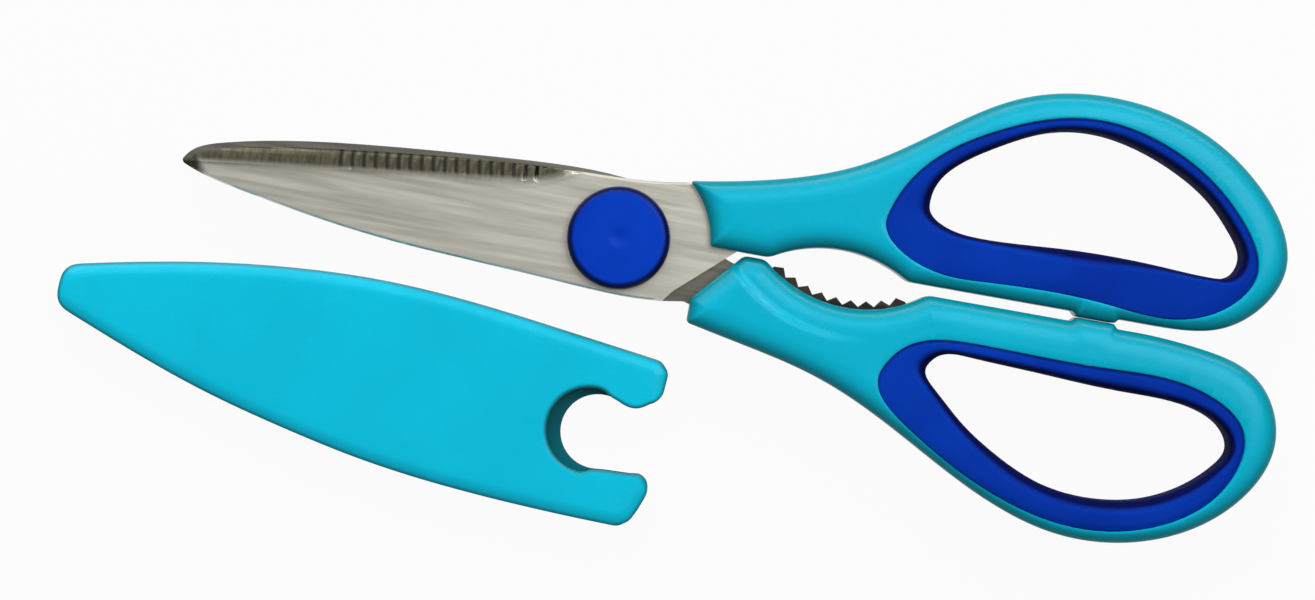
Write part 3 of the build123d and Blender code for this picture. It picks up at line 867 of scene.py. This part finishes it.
def side_wall(loop, bottom, top):
    """The upright wall along the sides and round the closed end, which takes the painted edge shade all
    over.
    """
    places, triangles = triangles_inside(loop, MOUTH_EDGE_WIDTH)
    level = np.ones(len(places))
    return *raised(places, triangles, top * level, bottom * level), np.zeros(2 * len(places))


low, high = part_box("sheath")
side_loop = wall_outline((low.z + high.z) / 2)
front_inside, rear_inside = high.z - FACE_WALL, low.z + FACE_WALL
front_loop = fill_out(wall_outline(front_inside + OVERLAP), hull(side_loop))
rear_loop = fill_out(wall_outline(rear_inside - OVERLAP), hull(side_loop))
walls = [side_wall(side_loop, rear_inside - OVERLAP, front_inside + OVERLAP),
         crowned_wall(front_loop, front_inside, high.z),
         crowned_wall(rear_loop, rear_inside, low.z)]
print("sheath walls", [len(faces) for _, faces, _ in walls], "faces")

# %% Sheath
starts = np.cumsum([0] + [len(points) for points, _, _ in walls])
faces = [[int(start) + corner for corner in face]
         for start, (_, wall_faces, _) in zip(starts, walls) for face in wall_faces]
sheath = mesh_piece("sheath_walls", np.vstack([points for points, _, _ in walls]), faces, sheath_teal,
                    ("inset", np.concatenate([inset for _, _, inset in walls])), WALL_CORNER)
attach(sheath, "sheath")
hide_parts("sheath")

# %% [markdown]
# Soft rings
#
# Each finger loop is lined with a soft ring. It is wide on the side of the fingers' pull and thin round
# the rest, and it rolls over into the opening. One section swept round the loop would keep its width, so
# the surface is a grid instead: one parameter goes round the loop, and the other across the section,
# which is worked out from the ring's width at every bearing.

# %% Section of a ring
ROLL_WIDTH = 3.2 * MM
ROLL_DEPTH = 3.2 * MM
ROLL_MOST_SHARE = 0.5       # the roll takes no more than this share of a thin ring
RIM_ROUND = 0.4 * MM
CROWN = 0.25 * MM
RIM_STEPS, TOP_STEPS, ROLL_STEPS = 5, 8, 14


def ring_profile(width, half_height):
    """Half of the ring's section, from its outer wall over the top to its inner wall.

    On the outer half of the top the height falls by a crown that goes as the square of the place
    across. The roll into the opening is a quarter of an ellipse, and the outer rim a quarter of a small
    circle. The last array says how far down the roll each point lies.
    """
    roll = np.minimum(ROLL_WIDTH, ROLL_MOST_SHARE * width)
    rim = np.linspace(0, np.pi / 2, RIM_STEPS)[:, None]
    rim_across = RIM_ROUND * (1 - np.cos(rim)) + 0 * width
    rim_height = half_height - CROWN - RIM_ROUND * (1 - np.sin(rim)) + 0 * width
    share = np.linspace(0, 1, TOP_STEPS)[1:, None]
    top_across = RIM_ROUND + share * (width - roll - RIM_ROUND)
    top_height = half_height - CROWN * (2 * share - 1) ** 2 * (share < 0.5) + 0 * width
    turn = np.linspace(0, np.pi / 2, ROLL_STEPS)[1:, None]
    roll_across = width - roll + roll * np.sin(turn)
    roll_height = half_height - ROLL_DEPTH * (1 - np.cos(turn)) + 0 * width
    across = np.vstack([0 * width[None], rim_across, top_across, roll_across, width[None]])
    height = np.vstack([0 * width[None], rim_height, top_height, roll_height, 0 * width[None]])
    down = np.vstack([0 * across[:-ROLL_STEPS], (1 - np.cos(turn)) + 0 * width, 1 + 0 * width[None]])
    return across, height, down


print("half a ring's section has", len(ring_profile(np.array([ROLL_WIDTH]), ROLL_DEPTH)[0]), "points")


def grid_faces(rows, columns):
    """Squares between the rows and columns of a grid whose rows and columns both join up."""
    index = np.arange(rows * columns).reshape(rows, columns)
    up, along = np.roll(index, -1, 0), np.roll(index, -1, 1)
    return np.stack([index, along, np.roll(along, -1, 0), up], axis=-1).reshape(-1, 4)


# %% [markdown]
# Two rings
#
# A ring's outlines come from a level cut, as the handles' do. Seen from the middle of the finger opening,
# each outline is met once in every direction, so a distance for each direction describes it. The grid
# then needs only those two distances, the profile between them and its mirror image below.

# %% Rings
RING_STEPS = 720
CENTRE_STEPS = 400
BEARING_STEPS = 3000


def ring_reach(loop, centre, angles):
    """Distance from a centre out to the outline, as a function of the direction."""
    away = evenly(loop, BEARING_STEPS) - centre
    angle = np.arctan2(away[:, 1], away[:, 0])
    order = np.argsort(angle)
    return np.interp(angles, angle[order], np.hypot(*away.T)[order], period=2 * np.pi)


def finger_ring(node, body):
    """Round the loop by angle and across it by the profile, which is mirrored for the underside."""
    low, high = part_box(node)
    middle, half_height = (low.z + high.z) / 2, (high.z - low.z) / 2
    outer_loop, inner_loop = outlines(node, middle)
    centre = evenly(inner_loop, CENTRE_STEPS).mean(0)
    angles = np.linspace(-np.pi, np.pi, RING_STEPS, endpoint=False)
    outer, inner = ring_reach(outer_loop, centre, angles), ring_reach(inner_loop, centre, angles)
    width = outer - inner
    across, height, down = ring_profile(width, half_height)
    across, down = [np.vstack([part, part[-2:0:-1]]) for part in (across, down)]
    height = np.vstack([height, -height[-2:0:-1]])
    away = outer - across
    points = np.stack([centre[0] + away * np.cos(angles), centre[1] + away * np.sin(angles),
                       middle + height], axis=-1)
    piece = mesh_piece(node + "_ring", points, grid_faces(*across.shape), soft_blue, ("roll", down))
    print(piece.name, "is", round(width.min() / MM, 1), "to", round(width.max() / MM, 1), "mm wide")
    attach(piece, body)
    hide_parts(node)


finger_ring("upper_handle_grip", "front_half")
finger_ring("lower_handle_grip", "rear_half")

# %% [markdown]
# Pivot cap
#
# The cap is pressed over the nut. It is a turned shape, so one profile goes round the pivot axis: a
# shallow dimple in the middle, a flat face, a round shoulder and the neck that the sheath snaps round.
# The Spin tool would turn the profile too, but a grid of sines and cosines needs no cleaning after it.

# %% Cap
CAP_STEPS = 180
SHOULDER = 1.5 * MM
SHOULDER_DEPTH = 1.9 * MM
DIMPLE = 2.3 * MM
DIMPLE_DEPTH = 0.3 * MM
NECK = 6.6 * MM
RIM_HEIGHT = 2.35 * MM
CAP_CORNER = radians(50)
DIMPLE_STEPS, FACE_STEPS, SHOULDER_STEPS = 8, 5, 12


def cap_profile(radius, bottom, top):
    """Radius and height from the middle of the top, out over the shoulder and down to the neck's end.

    The dimple follows half a wave of a cosine, and the shoulder a quarter of an ellipse.
    """
    dimple = np.linspace(0, 1, DIMPLE_STEPS)
    dimple_height = top - DIMPLE_DEPTH * (0.5 + 0.5 * np.cos(np.pi * dimple))
    face = np.linspace(DIMPLE, radius - SHOULDER, FACE_STEPS)[1:]
    turn = np.linspace(0, np.pi / 2, SHOULDER_STEPS)[1:]
    shoulder = radius - SHOULDER * (1 - np.sin(turn))
    shoulder_height = top - SHOULDER_DEPTH * (1 - np.cos(turn))
    away = np.concatenate([DIMPLE * dimple, face, shoulder, [radius, NECK, NECK, 0]])
    height = np.concatenate([dimple_height, top + 0 * face, shoulder_height,
                             [top - RIM_HEIGHT, top - RIM_HEIGHT, bottom, bottom]])
    return away[:, None], height[:, None]


low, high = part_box("pivot_cap")
away, height = cap_profile(high.x, low.z, high.z)
angles = np.linspace(0, 2 * np.pi, CAP_STEPS, endpoint=False)
points = np.stack([away * np.cos(angles), away * np.sin(angles), height + 0 * angles], axis=-1)
cap = mesh_piece("pivot_cap_face", points, grid_faces(len(away), CAP_STEPS), cap_blue, sharp=CAP_CORNER)
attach(cap, "rear_half")
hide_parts("pivot_cap")

# %% [markdown]
# Table
#
# The shears lie on a white table that is brighter than anything on them. More light would bleach the
# plastic, so the table glows instead, but only for what the camera and reflections see. The rest of it is
# a plain pale surface, which takes the shears' soft shadow.

# %% Table
TABLE_SIDE = 6.0
TABLE_GAP = 0.1 * MM        # a hair's breadth below the pieces
TABLE_PALE = 0.5
TABLE_ROUGHNESS = 0.8
TABLE_GLOW = 0.95
TABLE_CORNERS = TABLE_SIDE / 2 * np.array([(-1, -1, 0), (1, -1, 0), (1, 1, 0), (-1, 1, 0)])


def glowing_table():
    """A mix of a plain shader and a glow. The glow's share is nothing but for the rays named here."""
    material, tree, shader = new_material("table_white")
    shader.inputs["Base Color"].default_value = (TABLE_PALE, TABLE_PALE, TABLE_PALE, 1)
    shader.inputs["Roughness"].default_value = TABLE_ROUGHNESS
    shader.inputs["Specular IOR Level"].default_value = 0.0
    ray = add(tree, "ShaderNodeLightPath")
    seen = calculate(tree, "MAXIMUM", 0.0)
    join(tree, ray, "Is Camera Ray", seen, 0)
    for kind in ("Is Glossy Ray", "Is Transmission Ray"):
        seen = calculate(tree, "MAXIMUM", seen)
        join(tree, ray, kind, seen, 1)
    mixed = add(tree, "ShaderNodeMixShader")
    join(tree, calculate(tree, "MULTIPLY", seen, TABLE_GLOW), 0, mixed, 0)
    join(tree, shader, 0, mixed, 1)
    join(tree, add(tree, "ShaderNodeEmission", Strength=1.0), 0, mixed, 2)
    join(tree, mixed, 0, tree.nodes["Material Output"], "Surface")
    return material


table_mesh = bpy.data.meshes.new("table")
table_mesh.from_pydata(TABLE_CORNERS.tolist(), [], [(0, 1, 2, 3)])
table_mesh.materials.append(glowing_table())
table = new_object("table", table_mesh)
table.location.z = -TABLE_GAP
print("table", TABLE_SIDE, "m square")

# %% [markdown]
# Light
#
# The picture was lit softly from above and beyond, with a highlight along the far side of the handles.
# An even white world fills the shadows. Two large lamps leave soft highlights, and two long narrow ones
# draw the thin bright lines. Together they are weak enough for a colour to show about as written.

# %% Light
WORLD_STRENGTH = 0.32
LAMPS = {       # place and size in metres, and power in watts
    "window": ((-0.55, 0.65, 0.50), (0.9, 0.6), 5.7),
    "rim": ((0.12, 0.80, 0.42), (1.0, 0.15), 4.6),
    "overhead": ((0.45, 0.35, 0.95), (0.6, 0.6), 3.8),
    "streak": ((-0.10, 0.42, 0.80), (0.9, 0.10), 1.1),
}

world = bpy.data.worlds.new("studio")
bpy.context.scene.world = world
world.use_nodes = True
world.node_tree.nodes["Background"].inputs["Color"].default_value = (1, 1, 1, 1)
world.node_tree.nodes["Background"].inputs["Strength"].default_value = WORLD_STRENGTH


def softbox(name, place, size, power):
    """A flat lamp that faces the pivot."""
    data = bpy.data.lights.new(name, "AREA")
    data.shape = "RECTANGLE"
    data.size, data.size_y = size
    data.energy = power
    lamp = new_object(name, data)
    lamp.location = place
    lamp.rotation_euler = (-Vector(place)).to_track_quat("-Z", "Y").to_euler()


for name, (place, size, power) in LAMPS.items():
    softbox(name, place, size, power)

bpy.context.scene.view_settings.view_transform = "Standard"
print(len(LAMPS), "lamps of", round(sum(power for _, _, power in LAMPS.values()), 1), "W together")
